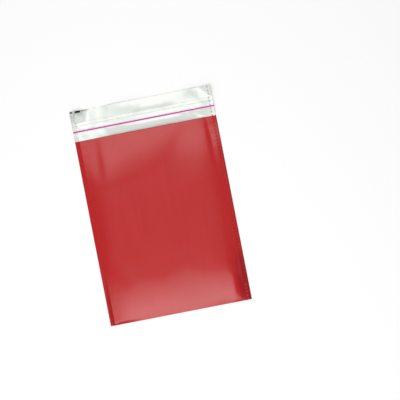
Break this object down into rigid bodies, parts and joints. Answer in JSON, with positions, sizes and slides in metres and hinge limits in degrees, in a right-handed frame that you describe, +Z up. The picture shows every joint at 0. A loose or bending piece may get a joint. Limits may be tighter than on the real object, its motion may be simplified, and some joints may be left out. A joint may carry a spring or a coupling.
{
  "type": "foil mailing bag",
  "caption": "Flat side-welded mailing bag of red metallised film, silver inside, with an open mouth and a peel-and-seal flap.",
  "frame": {"origin": "on the surface that the bag lies on, under the middle of its whole length and width", "axes": "+X across the bag, +Y from the bottom fold to the flap, +Z up out of the front wall"},
  "size_m": [0.25, 0.379, 0.008],
  "materials": {
    "metallised_film": "satin red metallised film outside, bright silver inside and on the open flap",
    "adhesive": "pressure-sensitive glue, seen through the liner",
    "liner_film": "clear release film",
    "magenta_line": "printed line"
  },
  "bodies": {
    "root": {"foil_bag": "metallised_film", "adhesive_strip": "adhesive", "release_liner": "liner_film", "liner_line": "magenta_line"}
  },
  "joints": []
}
